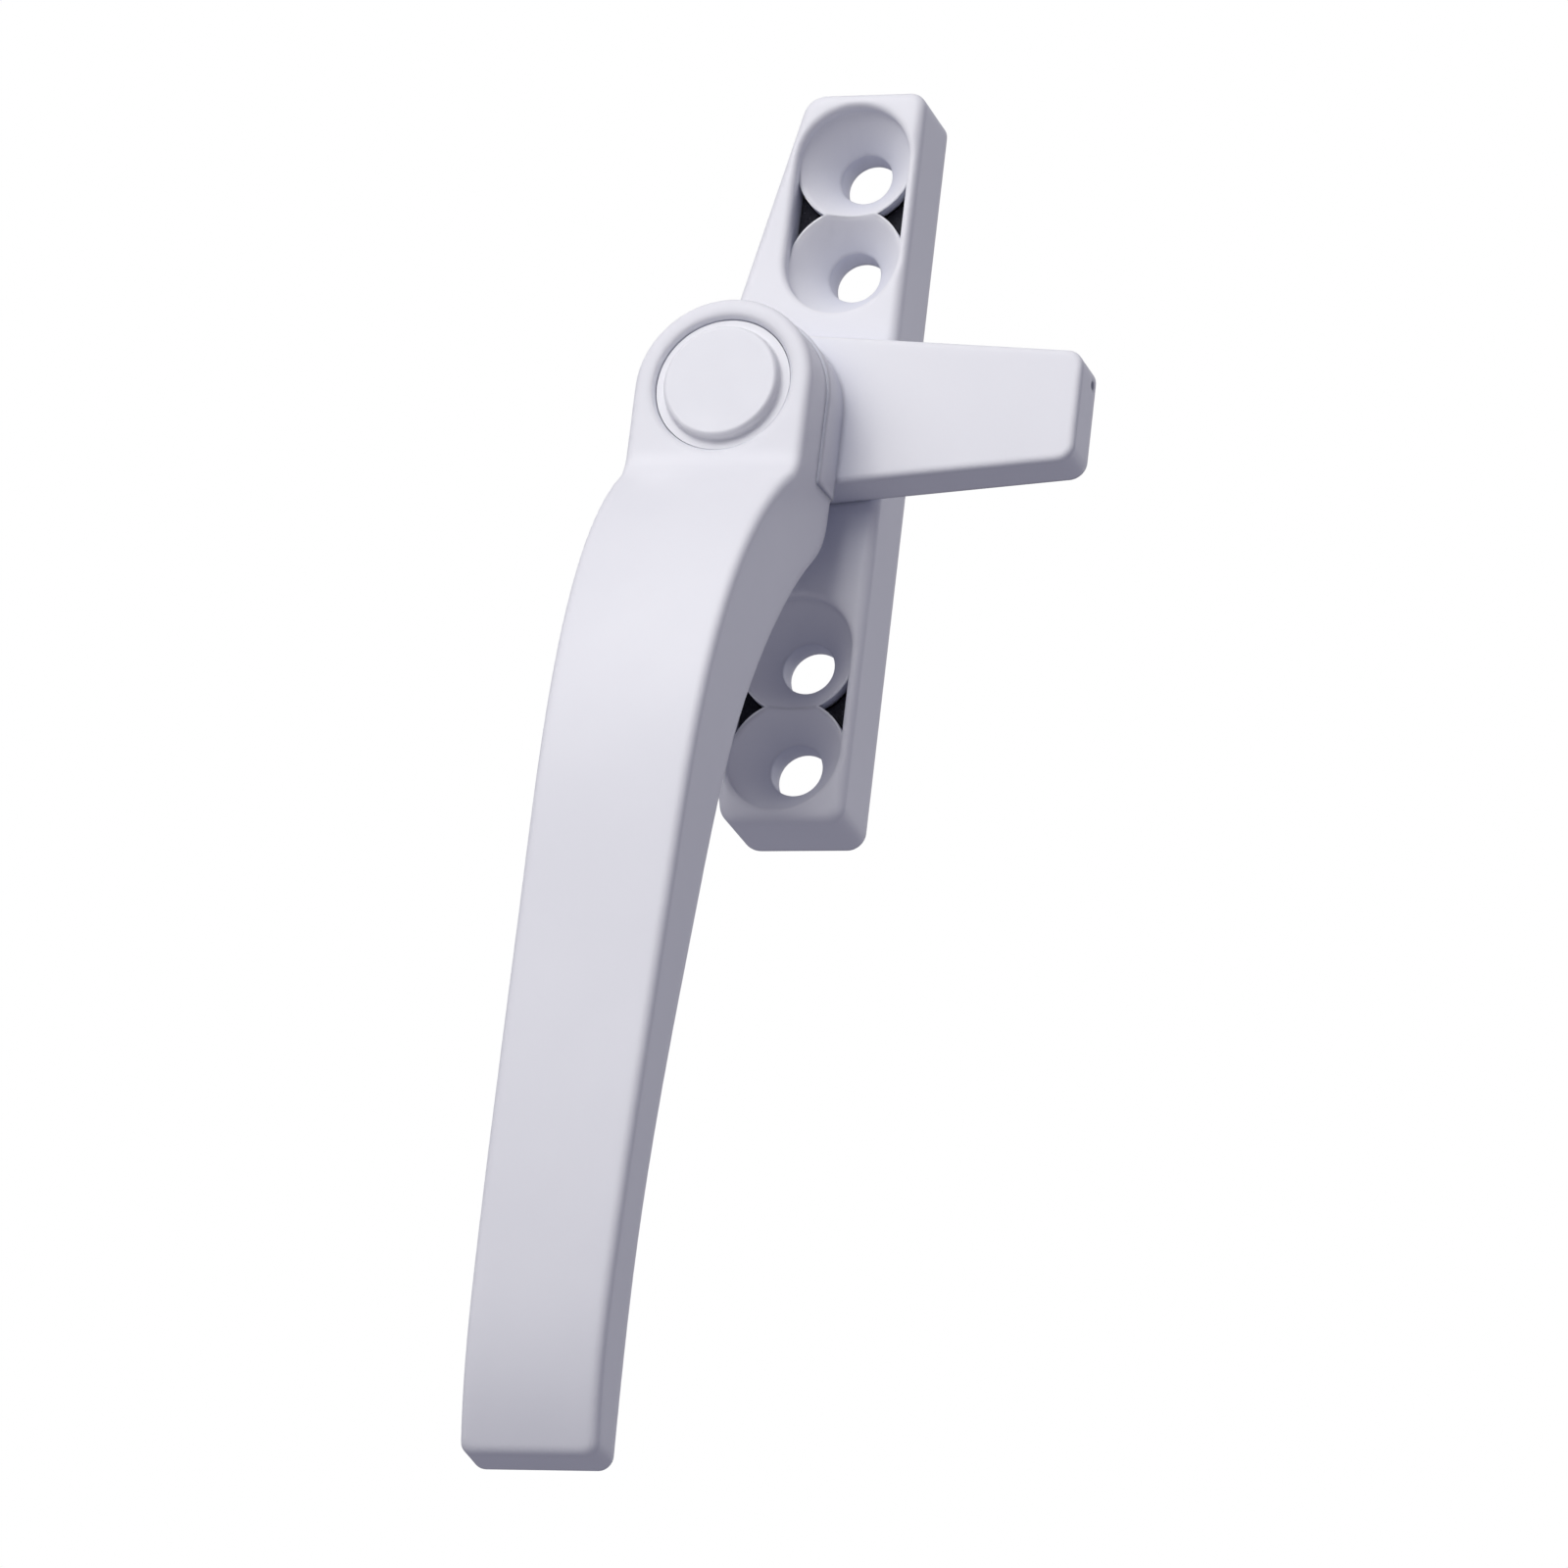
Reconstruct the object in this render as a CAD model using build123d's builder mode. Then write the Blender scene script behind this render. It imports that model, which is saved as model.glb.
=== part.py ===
from build123d import *
import os
from math import acos, atan2, cos, radians, sin, sqrt, tan

# Cockspur window handle: a lever turns a projecting tongue, in millimetres.
# Origin: middle of the fixing-hole pattern, on the face that meets the frame.
# X runs across the base towards the tongue, Z up the base, and the object
# stands out from its mounting face towards -Y.  Heights named below are
# measured out of the mounting face, so a height h lies at y = -h.

# --- fixing holes and base ------------------------------------------------
INNER_SPACING = 43.0        # the two holes nearest the pivot
OUTER_SPACING = 65.0        # the two holes nearest the ends
FIXING_HOLE_R = 2.75
BASE_END_WALL = 1.5         # past the screw recesses
BASE_SIDE_WALL = 1.1        # beside the screw recesses, at the nearest place
BASE_THICK = 8.0
BASE_LEFT_MID = 14.2        # where the two tapered edges would meet
BASE_APEX_R = 10.0
BASE_LEFT_CORNER_R = 2.4
BASE_RIGHT_CORNER_R = 1.8
BASE_EDGE_R = 1.0
BASE_WALL = 1.1

# --- screw recesses -------------------------------------------------------
RECESS_R = 6.0
RECESS_EDGE_R = 0.45
DISH_R = 6.2                # a flat rim is left outside the countersink
DISH_RIM_DROP = 1.5         # dish rim below the base's front
DISH_RIM_THICK = 1.2
DISH_MOUTH_R = 3.05
DISH_MOUTH_HEIGHT = 3.2
HOLE_TOP_HEIGHT = 2.9       # straight wall of a fixing hole ends here
POST_R = 4.4
POST_SHOULDER_HEIGHT = 3.3
LUG_DROP = 0.3              # gasket lugs end this far below the dish rims

# --- pivot ----------------------------------------------------------------
PIVOT_X = -5.5
PIVOT_Z = 1.3
JOURNAL_R = 4.0
SQUARE = 6.0
SQUARE_CORNER_R = 0.4
RUNNING_FIT = 0.05
SEAT_FIT = 0.02
SLIP_FIT = 0.1

# --- parts behind the base's web ------------------------------------------
REAR_POCKET_DEPTH = 3.6
REAR_POCKET_CLEAR = 0.4     # round the washers
REAR_RING_WALL = 1.4
GASKET_THICK = 1.4
THRUST_WASHER_THICK = 0.7
SPRING_WASHER_HEIGHT = 0.7
SPRING_WASHER_THICK = 0.35
STEEL_WASHER_THICK = 0.6
RING_THICK = 0.6
REAR_WASHER_WIDTH = 2.6
RING_WIDTH = 1.9            # proud of the journal
RING_GROOVE_DEPTH = 0.8
RING_MOUTH = 5.2            # gap that the ring is pushed on through
RING_EAR_R = 0.8            # relief beside the ring's three pads
SPINDLE_END = 0.4

# --- bearing bush ---------------------------------------------------------
BUSH_WALL = 0.95
BUSH_FLANGE_WIDTH = 0.7
BUSH_FLANGE_THICK = 1.2
BUSH_PROUD = 0.25

# --- tongue ---------------------------------------------------------------
TONGUE_GAP = 0.3            # air between base and tongue
TONGUE_THICK = 5.0
TONGUE_REACH = 34.3         # pivot to tip
TONGUE_TIP_TOP = 6.9
TONGUE_TIP_BOTTOM = -4.9
TONGUE_ROOT_BOTTOM = -7.8
TONGUE_TIP_R = 1.8
TONGUE_EDGE_R = 0.45
TONGUE_INSET = 0.1          # upper edge inside the boss's round
BOSS_LIP = 0.05             # boss proud of the hub's sides
BOSS_HEIGHT = 4.7           # above the tongue's front
BOSS_FLAT = 9.0             # keyed flat below the pivot
TIP_HOLE_R = 0.45
TIP_HOLE_DEPTH = 2.0
TIP_HOLE_DROP = 2.2         # below the tip's upper edge
TIP_HOLE_HEIGHT = 1.1       # above the tongue's back

# --- stop pin -------------------------------------------------------------
STOP_R = 1.2
STOP_WALL = 0.5             # web between stop pin and bush flange
STOP_ANGLE = -45.0
STOP_DEPTH = 4.0            # pressed into the base
STOP_PROUD = 1.8            # above the tongue's back
STOP_SLOT_DEPTH = 2.1
TRAVEL = 90.0
STOP_CLEAR = 0.3

# --- lever ----------------------------------------------------------------
HUB_THICK = 4.7
HUB_FACE_R = 9.27           # at the hub's front, where the draft is measured from
LEVER_DRAFT = 3.0
LEVER_LENGTH = 117.9
LEVER_END_HALF = 7.7
LEVER_END_R = 2.6
LEVER_FRONT_EDGE_R = 0.65
LEVER_BACK_EDGE_R = 0.6
HEEL_GAP = 0.2              # heel above the tongue's front
HEEL_FIT = 0.05
HEEL_RUN = 2.4              # flat underside of the heel
BEND_R = 4.0
BEND_DROP = 9.3             # hub face ends this far below the pivot

# --- cap, screw and dowels ------------------------------------------------
CAP_POCKET_EASE = 0.3       # bevel round the pocket's mouth
CAP_FLANGE_WIDTH = 1.0
CAP_FLANGE_DROP = 0.45      # below the hub's face
CAP_PROUD = 0.7             # middle of the cap above the hub's face
CAP_SEAT_DEPTH = 1.2
CAP_EDGE_R = 0.45
CAP_ROOT_R = 0.25           # where the cap's middle rises from its flange
CAP_HOLLOW_EASE = 0.4       # round the screw's pocket
CAP_HOLLOW_DEPTH = 1.1
CAP_WALL = 1.3              # round the hollow
SCREW_R = 1.95
SCREW_LENGTH = 8.0
SCREW_HEAD_R = 3.6
SCREW_HEAD_THICK = 1.8
SCREW_SOCKET = 2.5
SCREW_SOCKET_DEPTH = 1.1
HEAD_CLEAR = 0.7            # round the screw's head
HEAD_POCKET_DEPTH = 1.3
LOCK_WASHER_THICK = 0.3
LOCK_WASHER_R = 3.5
LOCK_WASHER_SPLIT = 0.3
SPINDLE_IN_HUB = 1.2
DOWEL_R = 1.25
DOWEL_WALL = 0.5            # between a dowel and the square's corner
DOWEL_IN_BOSS = 3.0
DOWEL_IN_HUB = 2.2

FACING = 0.35               # least share of a face's normal that counts as facing

# --- heights worked out from the sizes above ------------------------------
TONGUE_BACK = BASE_THICK + TONGUE_GAP
TONGUE_FRONT = TONGUE_BACK + TONGUE_THICK
HUB_BACK = TONGUE_FRONT + BOSS_HEIGHT
HUB_FRONT = HUB_BACK + HUB_THICK
HEEL_BACK = TONGUE_FRONT + HEEL_GAP
CAP_SEAT = HUB_FRONT - CAP_SEAT_DEPTH
HEAD_SEAT = CAP_SEAT - HEAD_POCKET_DEPTH
SPINDLE_TIP = HUB_BACK + SPINDLE_IN_HUB
THRUST_FACE = REAR_POCKET_DEPTH - THRUST_WASHER_THICK
SPRING_FACE = THRUST_FACE - SPRING_WASHER_HEIGHT
WASHER_FACE = SPRING_FACE - STEEL_WASHER_THICK
RING_FACE = WASHER_FACE - RING_THICK
HUB_R = HUB_FACE_R + (HUB_FRONT - HEEL_BACK) * tan(radians(LEVER_DRAFT))
BOSS_R = HUB_R + BOSS_LIP
BASE_LENGTH = OUTER_SPACING + 2 * (RECESS_R + BASE_END_WALL)
BASE_RIGHT = RECESS_R + BASE_SIDE_WALL
TAPER_REACH = sqrt(BASE_LEFT_MID**2 + OUTER_SPACING**2 / 4)
TAPER = acos(BASE_RIGHT / TAPER_REACH) - atan2(OUTER_SPACING / 2, BASE_LEFT_MID)
BASE_LEFT_END = BASE_LEFT_MID - BASE_LENGTH / 2 * tan(TAPER)
REAR_WASHER_R = JOURNAL_R + REAR_WASHER_WIDTH
REAR_POCKET_R = REAR_WASHER_R + REAR_POCKET_CLEAR
REAR_RING_R = REAR_POCKET_R + REAR_RING_WALL
RING_GROOVE_R = JOURNAL_R - RING_GROOVE_DEPTH
RING_R = JOURNAL_R + RING_WIDTH
BUSH_R = JOURNAL_R + RUNNING_FIT + BUSH_WALL
BUSH_FLANGE_R = BUSH_R + BUSH_FLANGE_WIDTH
STOP_RADIUS = BUSH_FLANGE_R + STOP_WALL + STOP_R
HEAD_POCKET_R = SCREW_HEAD_R + HEAD_CLEAR
CAP_HOLLOW_R = HEAD_POCKET_R + CAP_HOLLOW_EASE
CAP_FACE_R = CAP_HOLLOW_R + CAP_WALL
CAP_R = CAP_FACE_R + CAP_FLANGE_WIDTH
CAP_BORDER = HUB_FACE_R - CAP_R - SLIP_FIT
DOWEL_RADIUS = SQUARE / sqrt(2) + DOWEL_WALL + DOWEL_R
STOP_X = PIVOT_X + STOP_RADIUS * cos(radians(STOP_ANGLE))
STOP_Z = PIVOT_Z + STOP_RADIUS * sin(radians(STOP_ANGLE))

PIVOT_AXIS = Axis((PIVOT_X, 0, PIVOT_Z), (0, -1, 0))
RECESS_CENTRES = [(0, side * (INNER_SPACING + OUTER_SPACING) / 4) for side in (-1, 1)]
HOLE_SPREAD = (OUTER_SPACING - INNER_SPACING) / 2
HOLE_CENTRES = [(0, side * gap / 2) for side in (-1, 1) for gap in (INNER_SPACING, OUTER_SPACING)]


def face_plane(height):
    """Plane parallel to the mounting face, centred on the fixing holes."""
    return Plane.XZ.offset(height)


def pivot_plane(height):
    """Plane parallel to the mounting face, centred on the pivot."""
    return Plane(origin=(PIVOT_X, -height, PIVOT_Z), x_dir=(1, 0, 0), z_dir=(0, -1, 0))


def section_plane(x, z):
    """Plane for turned profiles: first axis is the radius, second the height."""
    return Plane(origin=(x, 0, z), x_dir=(1, 0, 0), z_dir=(0, 0, -1))


def profile(points, plane):
    """Closed outline of straight lines on a plane."""
    with BuildSketch(plane) as shape:
        with BuildLine():
            Polyline(*points, close=True)
        make_face()
    return shape.sketch


def turning(points):
    """Closed outline of (radius, height) points to turn about the pivot."""
    return profile(points, section_plane(PIVOT_X, PIVOT_Z))


def disc(radius, height):
    """Round outline about the pivot at a height."""
    with BuildSketch(pivot_plane(height)) as shape:
        Circle(radius)
    return shape.sketch


def ring(outer, inner, height):
    """Flat ring about the pivot at a height."""
    with BuildSketch(pivot_plane(height)) as shape:
        Circle(outer)
        Circle(inner, mode=Mode.SUBTRACT)
    return shape.sketch


def square(side, height):
    """Square with eased corners about the pivot at a height."""
    with BuildSketch(pivot_plane(height)) as shape:
        RectangleRounded(side, side, SQUARE_CORNER_R)
    return shape.sketch


def dowel_spots(radius, height):
    """Round outlines at the two drive dowels."""
    with BuildSketch(pivot_plane(height)) as shape:
        with PolarLocations(DOWEL_RADIUS, 2):
            Circle(radius)
    return shape.sketch


def base_outline(height, inset):
    """Straight edge on the tongue's side, two tapered edges meeting opposite the pivot."""
    half = BASE_LENGTH / 2
    with BuildSketch(face_plane(height)) as shape:
        with BuildLine():
            Polyline(
                (BASE_RIGHT, -half),
                (BASE_RIGHT, half),
                (-BASE_LEFT_END, half),
                (-BASE_LEFT_MID, 0),
                (-BASE_LEFT_END, -half),
                close=True,
            )
        make_face()
        fillet(vertices().group_by(Axis.X)[-1], BASE_RIGHT_CORNER_R)
        fillet(vertices().sort_by_distance((-BASE_LEFT_END, half))[0], BASE_LEFT_CORNER_R)
        fillet(vertices().sort_by_distance((-BASE_LEFT_END, -half))[0], BASE_LEFT_CORNER_R)
        fillet(vertices().sort_by(Axis.X)[0], BASE_APEX_R)
        if inset:
            offset(amount=-inset, mode=Mode.REPLACE)
    return shape.sketch


def recess_outline(height):
    """The two slots that the fixing screws sit in."""
    with BuildSketch(face_plane(height)) as shape:
        with Locations(*RECESS_CENTRES):
            SlotCenterToCenter(HOLE_SPREAD, 2 * RECESS_R, rotation=90)
    return shape.sketch


def fixing_spots(radius, height):
    """Round outlines at the four fixing holes."""
    with BuildSketch(face_plane(height)) as shape:
        with Locations(*HOLE_CENTRES):
            Circle(radius)
    return shape.sketch


def rim_edges(chosen):
    """Edges round the outside of a run of neighbouring faces."""
    found = [edge for face in chosen for edge in face.edges()]
    return [edge for edge in found if sum(edge.is_same(other) for other in found) == 1]


# --- base -----------------------------------------------------------------
DISH_RIM = BASE_THICK - DISH_RIM_DROP
DISH_BLANK = [
    (0, 0),
    (POST_R, 0),
    (POST_R, POST_SHOULDER_HEIGHT),
    (DISH_R, DISH_RIM - DISH_RIM_THICK),
    (DISH_R, DISH_RIM),
    (0, DISH_RIM),
]
COUNTERSINK = [
    (0, 0),
    (FIXING_HOLE_R, 0),
    (FIXING_HOLE_R, HOLE_TOP_HEIGHT),
    (DISH_MOUTH_R, DISH_MOUTH_HEIGHT),
    (RECESS_R, DISH_RIM),
    (0, DISH_RIM),
]
with BuildPart() as base_plate:
    extrude(base_outline(0, 0), amount=BASE_THICK)
    fillet(faces().sort_by(Axis.Y)[0].edges(), BASE_EDGE_R)
    extrude(recess_outline(0), amount=BASE_THICK, mode=Mode.SUBTRACT)
    fillet(faces().sort_by(Axis.Y)[0].inner_wires().edges(), RECESS_EDGE_R)
    extrude(base_outline(0, BASE_WALL), amount=GASKET_THICK, mode=Mode.SUBTRACT)
    extrude(disc(REAR_RING_R, 0), amount=GASKET_THICK)
    extrude(disc(REAR_POCKET_R, 0), amount=REAR_POCKET_DEPTH, mode=Mode.SUBTRACT)
    extrude(disc(BUSH_R + SEAT_FIT, 0), amount=BASE_THICK, mode=Mode.SUBTRACT)
    flange_floor = BASE_THICK + BUSH_PROUD - BUSH_FLANGE_THICK
    extrude(disc(BUSH_FLANGE_R + SLIP_FIT, flange_floor), amount=BASE_THICK, mode=Mode.SUBTRACT)
    for x, z in HOLE_CENTRES:
        revolve(profile(DISH_BLANK, section_plane(x, z)), axis=Axis((x, 0, z), (0, -1, 0)))
    for x, z in HOLE_CENTRES:
        hole_axis = Axis((x, 0, z), (0, -1, 0))
        revolve(profile(COUNTERSINK, section_plane(x, z)), axis=hole_axis, mode=Mode.SUBTRACT)
    with Locations(pivot_plane(BASE_THICK) * Location((STOP_X - PIVOT_X, STOP_Z - PIVOT_Z, 0))):
        Hole(STOP_R + SEAT_FIT, STOP_DEPTH + SEAT_FIT)

# --- backing gasket -------------------------------------------------------
# A lug rises into each gap beside a pair of dishes and keeps the gasket in place.
with BuildPart() as backing_gasket:
    extrude(base_outline(0, BASE_WALL + RUNNING_FIT), amount=GASKET_THICK)
    extrude(disc(REAR_RING_R + RUNNING_FIT, 0), amount=GASKET_THICK, mode=Mode.SUBTRACT)
    with BuildSketch(face_plane(GASKET_THICK)):
        with Locations(*RECESS_CENTRES):
            SlotCenterToCenter(HOLE_SPREAD, 2 * (RECESS_R - SLIP_FIT), rotation=90)
        with Locations(*HOLE_CENTRES):
            Circle(DISH_R + SLIP_FIT, mode=Mode.SUBTRACT)
    extrude(amount=DISH_RIM - DISH_RIM_THICK - LUG_DROP - GASKET_THICK)
    extrude(fixing_spots(POST_R + RUNNING_FIT, 0), amount=GASKET_THICK, mode=Mode.SUBTRACT)

# --- bearing bush ---------------------------------------------------------
BUSH_TOP = BASE_THICK + BUSH_PROUD
with BuildPart() as bearing_bush:
    extrude(disc(BUSH_R, REAR_POCKET_DEPTH), amount=BUSH_TOP - REAR_POCKET_DEPTH)
    extrude(disc(BUSH_FLANGE_R, BUSH_TOP - BUSH_FLANGE_THICK), amount=BUSH_FLANGE_THICK)
    extrude(disc(JOURNAL_R + RUNNING_FIT, 0), amount=BUSH_TOP, mode=Mode.SUBTRACT)

# --- stop pin -------------------------------------------------------------
with BuildPart() as stop_pin:
    with BuildSketch(face_plane(BASE_THICK - STOP_DEPTH)):
        with Locations((STOP_X, STOP_Z)):
            Circle(STOP_R)
    extrude(amount=STOP_DEPTH + TONGUE_GAP + STOP_PROUD)
    chamfer(edges().filter_by(GeomType.CIRCLE), STOP_R / 5)

# --- washers and ring behind the base's web -------------------------------
with BuildPart() as thrust_washer:
    extrude(ring(REAR_WASHER_R, JOURNAL_R + SLIP_FIT, THRUST_FACE), amount=THRUST_WASHER_THICK - SEAT_FIT)

SPRING_POINTS = [
    (JOURNAL_R + SLIP_FIT, THRUST_FACE - SEAT_FIT),
    (JOURNAL_R + SLIP_FIT, THRUST_FACE - SEAT_FIT - SPRING_WASHER_THICK),
    (REAR_WASHER_R, SPRING_FACE + SEAT_FIT),
    (REAR_WASHER_R, SPRING_FACE + SEAT_FIT + SPRING_WASHER_THICK),
]
with BuildPart() as spring_washer:
    revolve(turning(SPRING_POINTS), axis=PIVOT_AXIS)

with BuildPart() as retaining_washer:
    extrude(ring(REAR_WASHER_R, JOURNAL_R + SLIP_FIT, WASHER_FACE), amount=STEEL_WASHER_THICK)

with BuildPart() as retaining_ring:
    with BuildSketch(pivot_plane(RING_FACE + SEAT_FIT)):
        Circle(RING_R)
        Circle(RING_GROOVE_R + SEAT_FIT, mode=Mode.SUBTRACT)
        with PolarLocations(RING_GROOVE_R + SLIP_FIT, 3, start_angle=90):
            Circle(RING_EAR_R, mode=Mode.SUBTRACT)
        with Locations((0, -RING_R / 2)):
            Rectangle(RING_MOUTH, RING_R, mode=Mode.SUBTRACT)
    extrude(amount=RING_THICK - 2 * SEAT_FIT)

# --- spindle --------------------------------------------------------------
SPINDLE_POINTS = [
    (0, SPINDLE_END),
    (RING_GROOVE_R, SPINDLE_END),
    (RING_GROOVE_R + STEEL_WASHER_THICK, SPINDLE_END + STEEL_WASHER_THICK / 2),
    (JOURNAL_R, RING_FACE),
    (RING_GROOVE_R, RING_FACE),
    (RING_GROOVE_R, WASHER_FACE),
    (JOURNAL_R, WASHER_FACE),
    (JOURNAL_R, BUSH_TOP + SEAT_FIT),
    (0, BUSH_TOP + SEAT_FIT),
]
with BuildPart() as spindle:
    revolve(turning(SPINDLE_POINTS), axis=PIVOT_AXIS)
    extrude(square(SQUARE, BUSH_TOP), amount=SPINDLE_TIP - BUSH_TOP)
    chamfer(faces().sort_by(Axis.Y)[0].edges(), SQUARE_CORNER_R)
    with Locations(pivot_plane(SPINDLE_TIP)):
        Hole(SCREW_R + SEAT_FIT, SCREW_LENGTH)

# --- tongue ---------------------------------------------------------------
# The upper edge runs almost tangent from the boss to the tip.
ROOT_R = BOSS_R - TONGUE_INSET
TIP_LENGTH = sqrt(TONGUE_REACH**2 + TONGUE_TIP_TOP**2)
TANGENT_ANGLE = acos(ROOT_R / TIP_LENGTH) + atan2(TONGUE_TIP_TOP, TONGUE_REACH)
TANGENT = (ROOT_R * cos(TANGENT_ANGLE), ROOT_R * sin(TANGENT_ANGLE))
STOP_PATH = CenterArc((0, 0), STOP_RADIUS, STOP_ANGLE, TRAVEL)
with BuildPart() as tongue:
    with BuildSketch(pivot_plane(TONGUE_BACK)):
        with BuildLine():
            Polyline(
                (0, TONGUE_ROOT_BOTTOM),
                (TONGUE_REACH, TONGUE_TIP_BOTTOM),
                (TONGUE_REACH, TONGUE_TIP_TOP),
                TANGENT,
                (0, 0),
                close=True,
            )
        make_face()
        fillet(vertices().sort_by(Axis.X)[-2:], TONGUE_TIP_R)
    extrude(amount=TONGUE_THICK)
    fillet(faces().sort_by(Axis.Y)[0].edges(), TONGUE_EDGE_R)
    extrude(disc(BOSS_R, TONGUE_BACK), amount=TONGUE_THICK + BOSS_HEIGHT)
    with BuildSketch(pivot_plane(TONGUE_FRONT)):
        Rectangle(2 * BOSS_R, BOSS_FLAT, align=(Align.CENTER, Align.MAX))
    extrude(amount=BOSS_HEIGHT)
    with BuildSketch(pivot_plane(TONGUE_FRONT)):
        with Locations((0, -BOSS_FLAT)):
            Rectangle(2 * BOSS_R, BOSS_R, align=(Align.CENTER, Align.MAX))
    extrude(amount=BOSS_HEIGHT, mode=Mode.SUBTRACT)
    extrude(square(SQUARE + SLIP_FIT, 0), amount=HUB_BACK, mode=Mode.SUBTRACT)
    extrude(dowel_spots(DOWEL_R + SEAT_FIT, HUB_BACK - DOWEL_IN_BOSS), amount=HUB_BACK, mode=Mode.SUBTRACT)
    with BuildSketch(pivot_plane(TONGUE_BACK)):
        SlotArc(STOP_PATH, 2 * (STOP_R + STOP_CLEAR))
    extrude(amount=STOP_SLOT_DEPTH, mode=Mode.SUBTRACT)
    tip_spot = Plane(
        origin=(
            PIVOT_X + TONGUE_REACH,
            -TONGUE_BACK - TIP_HOLE_HEIGHT,
            PIVOT_Z + TONGUE_TIP_TOP - TIP_HOLE_DROP,
        ),
        z_dir=(1, 0, 0),
    )
    with Locations(tip_spot):
        Hole(TIP_HOLE_R, TIP_HOLE_DEPTH)

# --- drive dowels ---------------------------------------------------------
with BuildPart() as drive_dowels:
    extrude(
        dowel_spots(DOWEL_R, HUB_BACK - DOWEL_IN_BOSS + SEAT_FIT),
        amount=DOWEL_IN_BOSS + DOWEL_IN_HUB - 2 * SEAT_FIT,
    )
    chamfer(edges().filter_by(GeomType.CIRCLE), DOWEL_R / 5)

# --- lever ----------------------------------------------------------------
# Side view of the lever as (distance below the pivot, height) points.
LEVER_SIDE = Plane(origin=(PIVOT_X, 0, PIVOT_Z), x_dir=(0, 0, -1), z_dir=(-1, 0, 0))
BEYOND = 2 * HUB_R
LEVER_OVERRUN = 4.0         # the side view runs past the end before it is trimmed
HEEL_TOP = BOSS_FLAT + HEEL_FIT
FRONT_START = (BEND_DROP, HUB_FRONT)
FRONT_CURVE = [
    FRONT_START,
    (BEND_DROP + 10.7, HUB_FRONT + 9.3),
    (BEND_DROP + 25.7, HUB_FRONT + 14.9),
    (BEND_DROP + 50.7, HUB_FRONT + 17.2),
    (LEVER_LENGTH - 20.0, HUB_FRONT + 18.4),
    (LEVER_LENGTH - 9.0, HUB_FRONT + 17.9),
    (LEVER_LENGTH + LEVER_OVERRUN, HUB_FRONT + 14.2),
]
BACK_CURVE = [
    (LEVER_LENGTH + LEVER_OVERRUN, HUB_FRONT + 10.9),
    (LEVER_LENGTH - 23.0, HUB_FRONT + 12.8),
    (BEND_DROP + 50.7, HUB_FRONT + 9.8),
    (BEND_DROP + 30.7, HUB_FRONT + 6.2),
    (BEND_DROP + 16.7, HUB_FRONT),
    (BEND_DROP + 8.2, HUB_FRONT - 6.2),
    (HEEL_TOP + HEEL_RUN, HEEL_BACK),
]
with BuildPart() as lever:
    with BuildSketch(LEVER_SIDE):
        with BuildLine():
            Line((-BEYOND, HUB_FRONT), FRONT_START)
            Spline(*FRONT_CURVE)
            Line(FRONT_CURVE[-1], BACK_CURVE[0])
            Spline(*BACK_CURVE, tangents=[(-1, 0.1), (-1, 0)])
            Line(BACK_CURVE[-1], (HEEL_TOP, HEEL_BACK))
            Polyline((HEEL_TOP, HEEL_BACK), (HEEL_TOP, HUB_BACK), (-BEYOND, HUB_BACK))
            Line((-BEYOND, HUB_BACK), (-BEYOND, HUB_FRONT))
        make_face()
        bend = vertices().sort_by_distance(FRONT_START)[0]
        fillet(bend, BEND_R)
    extrude(amount=BEYOND, both=True)
    with BuildSketch(pivot_plane(HEEL_BACK)):
        with BuildLine():
            Polyline(
                (HUB_R, 0),
                (HUB_R, -BEND_DROP),
                (LEVER_END_HALF + HUB_R - HUB_FACE_R, HUB_FACE_R - HUB_R - LEVER_LENGTH),
                (HUB_FACE_R - HUB_R - LEVER_END_HALF, HUB_FACE_R - HUB_R - LEVER_LENGTH),
                (-HUB_R, -BEND_DROP),
                (-HUB_R, 0),
            )
            ThreePointArc((-HUB_R, 0), (0, HUB_R), (HUB_R, 0))
        make_face()
        fillet(vertices().sort_by(Axis.Y)[:2], LEVER_END_R)
    extrude(amount=BEYOND * 2, taper=LEVER_DRAFT, mode=Mode.INTERSECT)

    front = faces().filter_by(lambda face: face.normal_at().Y < -FACING)
    fillet(rim_edges(front), min(LEVER_FRONT_EDGE_R, (CAP_BORDER - CAP_POCKET_EASE) / 2))
    back = faces().filter_by(lambda face: face.normal_at().Y > FACING)
    back = back.filter_by(lambda face: face.center().Z < PIVOT_Z - HEEL_TOP)
    fillet(rim_edges(back), LEVER_BACK_EDGE_R)
    extrude(disc(CAP_R + SLIP_FIT, CAP_SEAT), amount=HUB_FRONT, mode=Mode.SUBTRACT)
    hub_face = faces().filter_by(lambda face: face.inner_wires()).sort_by(Axis.Y)[0]
    chamfer(hub_face.inner_wires().edges(), CAP_POCKET_EASE)
    extrude(disc(HEAD_POCKET_R, HEAD_SEAT), amount=HUB_FRONT, mode=Mode.SUBTRACT)
    extrude(disc(SCREW_R + SLIP_FIT, HUB_BACK), amount=HUB_FRONT, mode=Mode.SUBTRACT)
    extrude(square(SQUARE + SLIP_FIT, HUB_BACK), amount=SPINDLE_IN_HUB + SLIP_FIT, mode=Mode.SUBTRACT)
    extrude(dowel_spots(DOWEL_R + SEAT_FIT, HUB_BACK), amount=DOWEL_IN_HUB, mode=Mode.SUBTRACT)

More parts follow.
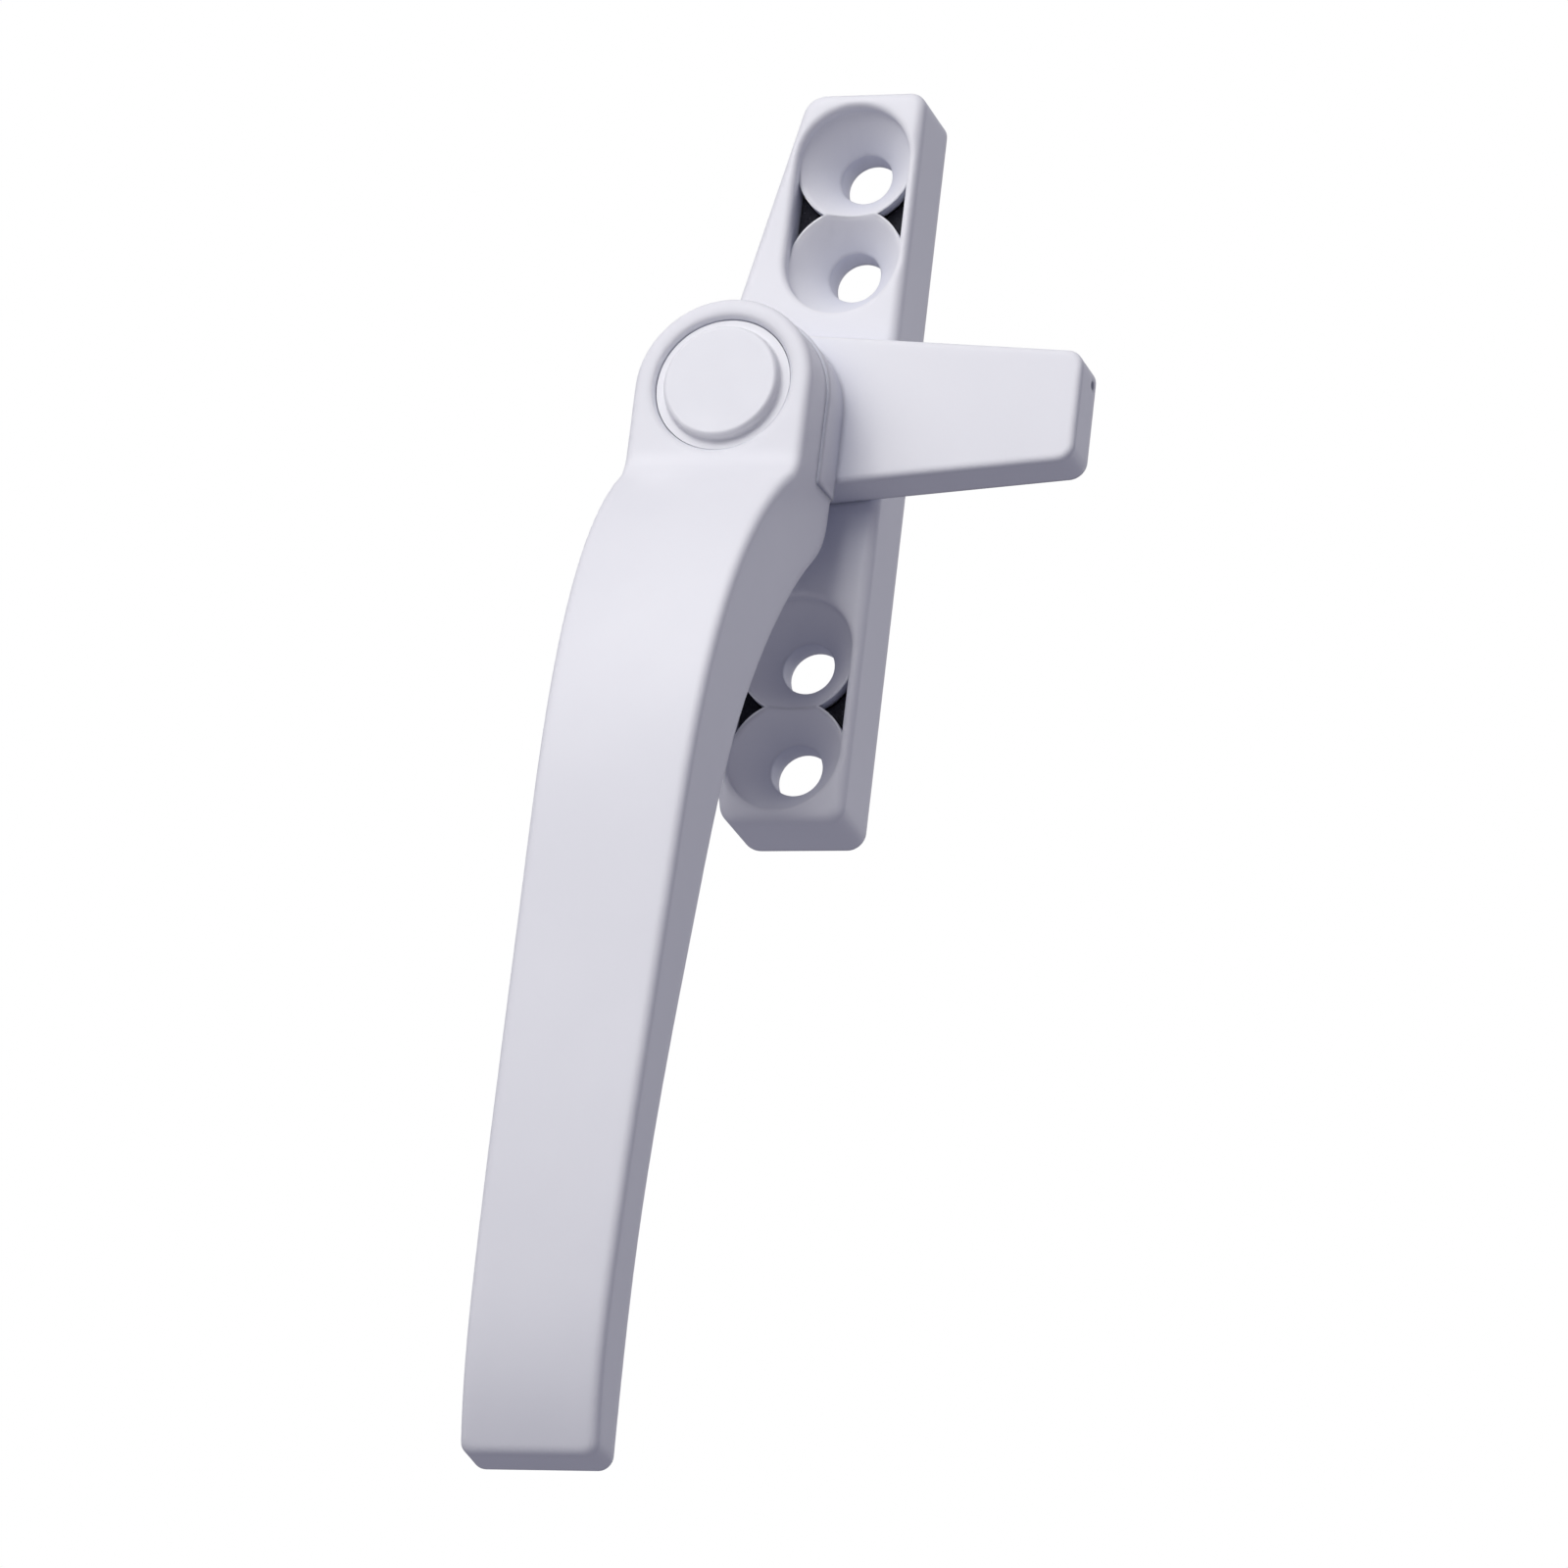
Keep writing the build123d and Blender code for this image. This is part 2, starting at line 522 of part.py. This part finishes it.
# --- lever screw and its lock washer --------------------------------------
with BuildPart() as lock_washer:
    with BuildSketch(pivot_plane(HEAD_SEAT)):
        Circle(LOCK_WASHER_R)
        Circle(SCREW_R + SLIP_FIT, mode=Mode.SUBTRACT)
        with Locations((LOCK_WASHER_R / 2, 0)):
            Rectangle(LOCK_WASHER_R, LOCK_WASHER_SPLIT, mode=Mode.SUBTRACT)
    extrude(amount=LOCK_WASHER_THICK)

HEAD_BACK = HEAD_SEAT + LOCK_WASHER_THICK
HEAD_FRONT = HEAD_BACK + SCREW_HEAD_THICK
with BuildPart() as lever_screw:
    extrude(disc(SCREW_HEAD_R, HEAD_BACK), amount=SCREW_HEAD_THICK)
    fillet(faces().sort_by(Axis.Y)[0].edges(), SCREW_HEAD_THICK / 4)
    extrude(disc(SCREW_R, HEAD_BACK - SCREW_LENGTH), amount=SCREW_LENGTH)
    chamfer(faces().sort_by(Axis.Y)[-1].edges(), SCREW_R / 5)
    with BuildSketch(pivot_plane(HEAD_FRONT)):
        RegularPolygon(SCREW_SOCKET / 2, 6, major_radius=False)
    extrude(amount=-SCREW_SOCKET_DEPTH, mode=Mode.SUBTRACT)

# --- hub cap --------------------------------------------------------------
FLANGE_FACE = HUB_FRONT - CAP_FLANGE_DROP
with BuildPart() as hub_cap:
    extrude(disc(CAP_R, CAP_SEAT + SEAT_FIT), amount=FLANGE_FACE - CAP_SEAT - SEAT_FIT)
    extrude(disc(CAP_FACE_R, FLANGE_FACE), amount=HUB_FRONT + CAP_PROUD - FLANGE_FACE)
    fillet(faces().sort_by(Axis.Y)[0].edges(), CAP_EDGE_R)
    fillet(faces().filter_by(GeomType.PLANE).sort_by(Axis.Y)[1].inner_wires().edges(), CAP_ROOT_R)
    extrude(disc(CAP_HOLLOW_R, CAP_SEAT), amount=CAP_HOLLOW_DEPTH, mode=Mode.SUBTRACT)

# --- hand out the pieces --------------------------------------------------
PIECES = {
    "base_plate": base_plate,
    "backing_gasket": backing_gasket,
    "bearing_bush": bearing_bush,
    "stop_pin": stop_pin,
    "thrust_washer": thrust_washer,
    "spring_washer": spring_washer,
    "retaining_washer": retaining_washer,
    "retaining_ring": retaining_ring,
    "spindle": spindle,
    "tongue": tongue,
    "drive_dowels": drive_dowels,
    "lever": lever,
    "lock_washer": lock_washer,
    "lever_screw": lever_screw,
    "hub_cap": hub_cap,
}
os.makedirs("parts", exist_ok=True)
for name, piece in PIECES.items():
    piece.part.label = name
    export_step(piece.part, f"parts/{name}.step")
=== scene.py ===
import bpy
from mathutils import Matrix, Vector


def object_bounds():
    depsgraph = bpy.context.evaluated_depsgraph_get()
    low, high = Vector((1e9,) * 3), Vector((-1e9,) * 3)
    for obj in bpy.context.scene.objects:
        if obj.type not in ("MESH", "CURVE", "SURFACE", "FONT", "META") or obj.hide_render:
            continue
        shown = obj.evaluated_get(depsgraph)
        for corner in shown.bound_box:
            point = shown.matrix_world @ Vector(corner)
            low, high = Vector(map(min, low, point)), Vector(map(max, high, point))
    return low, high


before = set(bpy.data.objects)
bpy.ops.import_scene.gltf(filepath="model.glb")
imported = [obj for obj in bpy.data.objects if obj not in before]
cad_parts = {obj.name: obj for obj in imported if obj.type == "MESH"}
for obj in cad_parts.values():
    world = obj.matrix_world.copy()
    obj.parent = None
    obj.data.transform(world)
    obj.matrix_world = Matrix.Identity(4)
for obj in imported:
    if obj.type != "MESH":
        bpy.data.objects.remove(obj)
cad_low, cad_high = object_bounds()

# ---- camera, in metres ----
CAMERA_PLACE = (0.31803, -0.86986, -0.37673)
CAMERA_LOOK = (-0.32391607, 0.87980236, 0.34788818)
CAMERA_UP = (0.00796712, -0.36516346, 0.93090933)
CAMERA_NEAR = 0.01
CAMERA_FAR = 60.0
SENSOR_WIDTH = 36.0         # in millimetres, as the lens is
LENS = 226.125

# ---- studio, in metres ----
FLOOR_DROP = 1.6
FLOOR_HALF = 14.0
FLOOR_GLOW = 0.8
AMBIENT = 0.31
AMBIENT_TINT = (0.79, 0.79, 1.0)

# ---- coatings, in metres ----
COAT_FLOW = 0.0010          # how far the powder flows round an edge
LEVER_COAT_FLOW = 0.0014


class Reading:
    """One socket of a finish. Sums, differences and products of readings add Math nodes."""

    def __init__(self, finish, socket):
        self.finish = finish
        self.socket = socket

    def _math(self, operation, first, second):
        return self.finish.node("ShaderNodeMath", {"operation": operation}, {0: first, 1: second})

    def __add__(self, other):
        return self._math("ADD", self, other)

    def __radd__(self, other):
        return self._math("ADD", other, self)

    def __sub__(self, other):
        return self._math("SUBTRACT", self, other)

    def __rsub__(self, other):
        return self._math("SUBTRACT", other, self)

    def __mul__(self, other):
        return self._math("MULTIPLY", self, other)

    def __rmul__(self, other):
        return self._math("MULTIPLY", other, self)


class Finish:
    """A material being made, from one shader's fixed sockets and what varies over the surface."""

    def __init__(self, name, **fixed):
        self.material = bpy.data.materials.new(name)
        self.material.use_nodes = True
        self.tree = self.material.node_tree
        self.tree.nodes.clear()
        self.shader = self.tree.nodes.new("ShaderNodeBsdfPrincipled")
        output = self.tree.nodes.new("ShaderNodeOutputMaterial")
        self.tree.links.new(self.shader.outputs["BSDF"], output.inputs["Surface"])
        for socket, value in fixed.items():
            self.shader.inputs[socket.replace("_", " ")].default_value = value
        self.place = self.node("ShaderNodeTexCoord", out="Object")

    def node(self, kind, settings=None, sockets=None, out=0):
        """Adds a node of that kind: first its settings, then each socket's value or link."""
        made = self.tree.nodes.new(kind)
        for key, value in (settings or {}).items():
            setattr(made, key, value)
        for key, value in (sockets or {}).items():
            if isinstance(value, Reading):
                self.tree.links.new(value.socket, made.inputs[key])
            else:
                made.inputs[key].default_value = value
        return Reading(self, made.outputs[out])

    def noise(self, size, detail=2.0, roughness=0.5, stretch=(1.0, 1.0, 1.0)):
        """Cloudy noise from 0 to 1, with clouds about size metres across."""
        spot = self.node(
            "ShaderNodeMapping", {"vector_type": "TEXTURE"}, {"Vector": self.place, "Scale": stretch}
        )
        return self.node(
            "ShaderNodeTexNoise",
            None,
            {"Vector": spot, "Scale": 1.0 / size, "Detail": detail, "Roughness": roughness},
            out="Fac",
        )

    def cells(self, size):
        """Distance from the nearest of scattered points, which lie about size metres apart."""
        return self.node(
            "ShaderNodeTexVoronoi",
            None,
            {"Vector": self.place, "Scale": 1.0 / size},
            out="Distance",
        )

    def spread(self, value, low, high):
        """Value taken smoothly from the range low..high to the range 0..1."""
        return self.node(
            "ShaderNodeMapRange",
            {"interpolation_type": "SMOOTHSTEP", "clamp": True},
            {"Value": value, "From Min": low, "From Max": high},
            out="Result",
        )

    def blend(self, share, first, second):
        """A colour between first and second, by share."""
        return self.node(
            "ShaderNodeMix",
            {"data_type": "RGBA"},
            {"Factor": share, "A": colour(first), "B": colour(second)},
            out=2,
        )

    def eased(self, radius, samples=4):
        """The surface's normal with corners, rims and valleys rounded over radius metres."""
        return self.node("ShaderNodeBevel", {"samples": samples}, {"Radius": radius})

    def edges(self, radius):
        """About 1 on corners and rims that turn within radius metres, and 0 on flats."""
        eased = self.eased(radius)
        true = self.node("ShaderNodeNewGeometry", out="Normal")
        return 1.0 - self.node(
            "ShaderNodeVectorMath", {"operation": "DOT_PRODUCT"}, {0: eased, 1: true}, out="Value"
        )

    def hollows(self, reach):
        """1 where the surface is open to the room, falling to 0 deep in a corner within reach metres."""
        return self.node("ShaderNodeAmbientOcclusion", {"samples": 6}, {"Distance": reach}, out="AO")

    def bump(self, height, depth, strength, under=None):
        """A normal that height, 0 to 1, raises by depth metres, over the relief of under."""
        sockets = {"Height": height, "Distance": depth, "Strength": strength}
        if under is not None:
            sockets["Normal"] = under
        return self.node("ShaderNodeBump", None, sockets, out="Normal")

    def give(self, **varying):
        """Links each varying reading to its socket of the shader."""
        for socket, reading in varying.items():
            self.tree.links.new(reading.socket, self.shader.inputs[socket.replace("_", " ")])
        return self.material


def colour(value):
    """A colour's four numbers from three, and a reading as it is."""
    return value if isinstance(value, Reading) else (*value, 1.0)


def powder_coat(name, flow):
    """White powder that flows round edges: orange peel, fine grit, clouds of tone, rubbed rims, and
    painted bluish shade deep in hollows.
    """
    coat = Finish(name, Specular_IOR_Level=0.45)
    flowed = coat.eased(flow, 8)
    clouds = coat.noise(0.022, 3.0)
    peel = coat.noise(0.0011, 1.0)
    grit = coat.noise(0.00022, 1.0)
    rubbed = coat.spread(coat.edges(0.0006), 0.02, 0.3) * coat.spread(coat.noise(0.006), 0.4, 0.65)
    # Painted shade: ambient occlusion within 9 mm turns the coat bluish grey (0.62, 0.635, 0.72) in
    # recesses, creases and under the lever.
    unshaded_share = coat.spread(coat.hollows(0.009), 0.25, 0.9)
    tone = coat.blend(coat.spread(clouds, 0.3, 0.7), (0.808, 0.802, 0.816), (0.836, 0.830, 0.840))
    shade_painted_in_hollows = coat.blend(unshaded_share, (0.62, 0.635, 0.72), tone)
    worn = coat.blend(rubbed * 0.5, shade_painted_in_hollows, (0.865, 0.862, 0.868))
    gloss = 0.40 + grit * 0.08 - rubbed * 0.1
    relief = coat.bump(grit, 0.000004, 0.3, coat.bump(peel, 0.00001, 0.35, flowed))
    return coat.give(Base_Color=worn, Roughness=gloss, Normal=relief)


def moulded_cap():
    """White moulded plastic, with a finer and glossier skin than the coating."""
    cap = Finish("white_moulded_plastic", Specular_IOR_Level=0.5)
    clouds = cap.noise(0.008, 2.0)
    grain = cap.noise(0.00035, 2.0)
    scuffs = cap.spread(cap.noise(0.0016, 4.0, 0.7, (1.0, 1.0, 4.0)), 0.6, 0.75)
    rubbed = cap.spread(cap.edges(0.0004), 0.02, 0.3)
    tone = cap.blend(cap.spread(clouds, 0.3, 0.7), (0.800, 0.796, 0.808), (0.822, 0.818, 0.828))
    worn = cap.blend(rubbed * 0.4, tone, (0.85, 0.85, 0.856))
    gloss = 0.34 + grain * 0.06 + scuffs * 0.08 - rubbed * 0.06
    return cap.give(Base_Color=worn, Roughness=gloss, Normal=cap.bump(grain, 0.000005, 0.3))


def foam_rubber():
    """Black closed-cell foam: small burst cells, pale crumbs at their rims and a dusty skin."""
    foam = Finish("black_foam_rubber", Specular_IOR_Level=0.3)
    pores = foam.cells(0.00042)
    clouds = foam.noise(0.003, 2.0)
    crumbs = foam.spread(foam.noise(0.0003, 2.0, 0.7), 0.62, 0.72)
    skin = foam.blend(foam.spread(clouds, 0.3, 0.7), (0.010, 0.010, 0.014), (0.022, 0.022, 0.030))
    cut = foam.blend(crumbs * 0.6, skin, (0.12, 0.12, 0.15))
    gloss = 0.75 + clouds * 0.2
    relief = foam.bump(foam.spread(pores, 0.0, 0.6), 0.00012, 0.8)
    return foam.give(Base_Color=cut, Roughness=gloss, Normal=relief)


def moulded_nylon():
    """Natural nylon: clouds of slightly yellow tone and a moulded grain."""
    nylon = Finish("natural_nylon", Specular_IOR_Level=0.4, Subsurface_Weight=0.1)
    clouds = nylon.noise(0.004, 2.0)
    grain = nylon.noise(0.0003, 2.0)
    tone = nylon.blend(nylon.spread(clouds, 0.3, 0.7), (0.60, 0.585, 0.51), (0.68, 0.665, 0.60))
    gloss = 0.42 + grain * 0.15
    return nylon.give(Base_Color=tone, Roughness=gloss, Normal=nylon.bump(grain, 0.000008, 0.4))


def zinc_plate():
    """Bright zinc on turned steel: cloudy bluish and straw tones, fine turning lines, rubbed rims."""
    zinc = Finish("bright_zinc_plate", Metallic=1.0)
    clouds = zinc.noise(0.003, 3.0)
    lines = zinc.noise(0.0006, 3.0, 0.6, (8.0, 0.4, 8.0))
    pits = zinc.spread(zinc.noise(0.00025, 2.0), 0.62, 0.74)
    rubbed = zinc.spread(zinc.edges(0.0003), 0.03, 0.3)
    tone = zinc.blend(zinc.spread(clouds, 0.3, 0.7), (0.50, 0.52, 0.56), (0.60, 0.585, 0.53))
    pitted = zinc.blend(pits * 0.5, tone, (0.32, 0.33, 0.35))
    worn = zinc.blend(rubbed * 0.6, pitted, (0.72, 0.72, 0.73))
    gloss = 0.26 + lines * 0.18 + pits * 0.15 - rubbed * 0.06
    relief = zinc.bump(lines, 0.00001, 0.4)
    return zinc.give(Base_Color=worn, Roughness=gloss, Normal=relief)


def dress(finish, *nodes):
    """Gives each CAD node the finish in place of its packed material."""
    for name in nodes:
        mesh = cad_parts[name].data
        for spot in range(len(mesh.materials)):
            mesh.materials[spot] = finish


dress(powder_coat("white_powder_coat", COAT_FLOW), "base_plate", "tongue")
dress(powder_coat("white_lever_coat", LEVER_COAT_FLOW), "lever")
dress(moulded_cap(), "hub_cap")
dress(foam_rubber(), "backing_gasket")
dress(moulded_nylon(), "bearing_bush", "thrust_washer")
dress(
    zinc_plate(),
    "spindle",
    "stop_pin",
    "drive_dowels",
    "lever_screw",
    "lock_washer",
    "spring_washer",
    "retaining_washer",
    "retaining_ring",
)


def put_camera():
    """The camera, from its place, the way it looks and which way is up."""
    look = Vector(CAMERA_LOOK).normalized()
    up = Vector(CAMERA_UP).normalized()
    right = look.cross(up)
    data = bpy.data.cameras.new("camera")
    data.sensor_width = SENSOR_WIDTH
    data.lens = LENS
    data.clip_start = CAMERA_NEAR
    data.clip_end = CAMERA_FAR
    camera = bpy.data.objects.new("camera", data)
    turned = Matrix((right, up, -look)).transposed()
    camera.matrix_world = Matrix.Translation(CAMERA_PLACE) @ turned.to_4x4()
    bpy.context.scene.collection.objects.link(camera)
    bpy.context.scene.camera = camera


def soft_box(name, direction, distance, size, power):
    """A square soft light that faces the object's middle from that direction."""
    middle = (cad_low + cad_high) / 2
    away = Vector(direction).normalized()
    data = bpy.data.lights.new(name, "AREA")
    data.shape = "SQUARE"
    data.size = size
    data.energy = power
    light = bpy.data.objects.new(name, data)
    turned = away.to_track_quat("Z", "Y").to_matrix()
    light.matrix_world = Matrix.Translation(middle + away * distance) @ turned.to_4x4()
    light.visible_camera = False
    bpy.context.scene.collection.objects.link(light)


def put_room():
    """A pale room: even soft light on the object, and plain white behind it."""
    world = bpy.data.worlds.new("pale_room")
    world.use_nodes = True
    tree = world.node_tree
    tree.nodes.clear()
    output = tree.nodes.new("ShaderNodeOutputWorld")
    mix = tree.nodes.new("ShaderNodeMixShader")
    path = tree.nodes.new("ShaderNodeLightPath")
    soft = tree.nodes.new("ShaderNodeBackground")
    soft.inputs["Color"].default_value = (*AMBIENT_TINT, 1.0)
    soft.inputs["Strength"].default_value = AMBIENT
    plain = tree.nodes.new("ShaderNodeBackground")
    plain.inputs["Color"].default_value = (1.0, 1.0, 1.0, 1.0)
    plain.inputs["Strength"].default_value = 1.0
    tree.links.new(path.outputs["Is Camera Ray"], mix.inputs["Fac"])
    tree.links.new(soft.outputs["Background"], mix.inputs[1])
    tree.links.new(plain.outputs["Background"], mix.inputs[2])
    tree.links.new(mix.outputs["Shader"], output.inputs["Surface"])
    bpy.context.scene.world = world
    bpy.context.scene.view_settings.view_transform = "Standard"


def put_floor():
    """A wide pale floor that glows a little, far enough down that the camera is above it."""
    height = cad_low.z - FLOOR_DROP
    corners = [(x * FLOOR_HALF, y * FLOOR_HALF, height) for x, y in ((-1, -1), (1, -1), (1, 1), (-1, 1))]
    mesh = bpy.data.meshes.new("floor")
    mesh.from_pydata(corners, [], [(0, 1, 2, 3)])
    floor = bpy.data.objects.new("floor", mesh)
    paint = Finish("pale_floor", Specular_IOR_Level=0.2, Roughness=0.8, Emission_Strength=FLOOR_GLOW)
    clouds = paint.spread(paint.noise(0.6, 3.0), 0.3, 0.7)
    pale = paint.blend(clouds, (0.86, 0.86, 0.87), (0.90, 0.90, 0.90))
    mesh.materials.append(paint.give(Base_Color=pale, Emission_Color=pale))
    floor.visible_diffuse = False
    floor.visible_glossy = False
    bpy.context.scene.collection.objects.link(floor)


put_camera()
put_room()
put_floor()
soft_box("key_light", (-0.18, -0.85, 0.50), 0.55, 0.35, 0.97)
soft_box("high_light", (-0.11, -0.63, 0.77), 0.55, 0.35, 0.83)
soft_box("side_light", (-0.56, -0.66, 0.50), 0.70, 0.40, 1.15)
soft_box("back_light", (0.32, 0.88, 0.34), 1.20, 0.90, 1.9)
